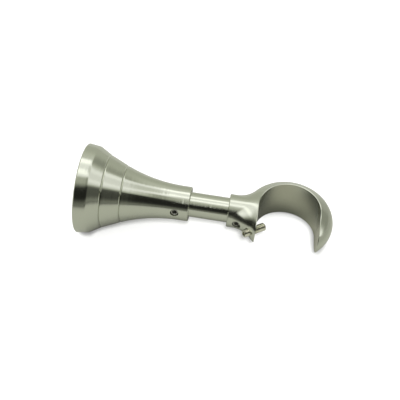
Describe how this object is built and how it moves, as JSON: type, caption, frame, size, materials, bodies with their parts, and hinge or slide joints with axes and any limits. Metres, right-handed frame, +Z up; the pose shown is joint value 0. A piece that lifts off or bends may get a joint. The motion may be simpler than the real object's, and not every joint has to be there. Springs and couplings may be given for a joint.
{
  "type": "curtain pole bracket",
  "caption": "Adjustable wall bracket for a round curtain pole: a flared base on a wall plate, a sliding stem and an open U-shaped pole cup with a clamping screw.",
  "frame": {"origin": "centre of the wall plate's back face, in the plane of the wall", "axes": "+Y into the wall along the stem, +Z up through the cup's open side, +X along the pole; the bracket stands out towards -Y"},
  "size_m": [0.0444, 0.1238, 0.0444],
  "materials": {
    "satin_steel": "fine turned satin",
    "screw_steel": "plain screw steel",
    "plate_steel": "zinc plated"
  },
  "bodies": {
    "base": {"flared_base": "satin_steel", "wall_plate": "plate_steel", "rim_screw": "screw_steel", "neck_screw": "screw_steel"},
    "stem_rod": {"stem": "satin_steel"},
    "cup": {"pole_cup": "satin_steel", "cup_screw": "screw_steel"},
    "clamp": {"pole_screw": "screw_steel"}
  },
  "joints": [
    {"name": "projection_slide", "type": "slide", "parent": "base", "child": "stem_rod", "axis": [0, -1, 0], "range_m": [-0.018, 0.015]},
    {"name": "cup_swivel", "type": "hinge", "parent": "stem_rod", "child": "cup", "pos_m": [0, -0.0772, 0], "axis": [0, -1, 0], "continuous": true},
    {"name": "pole_screw_travel", "type": "slide", "parent": "cup", "child": "clamp", "axis": [0, -0.8192, -0.5736], "range_m": [-0.0055, 0.0018]}
  ]
}
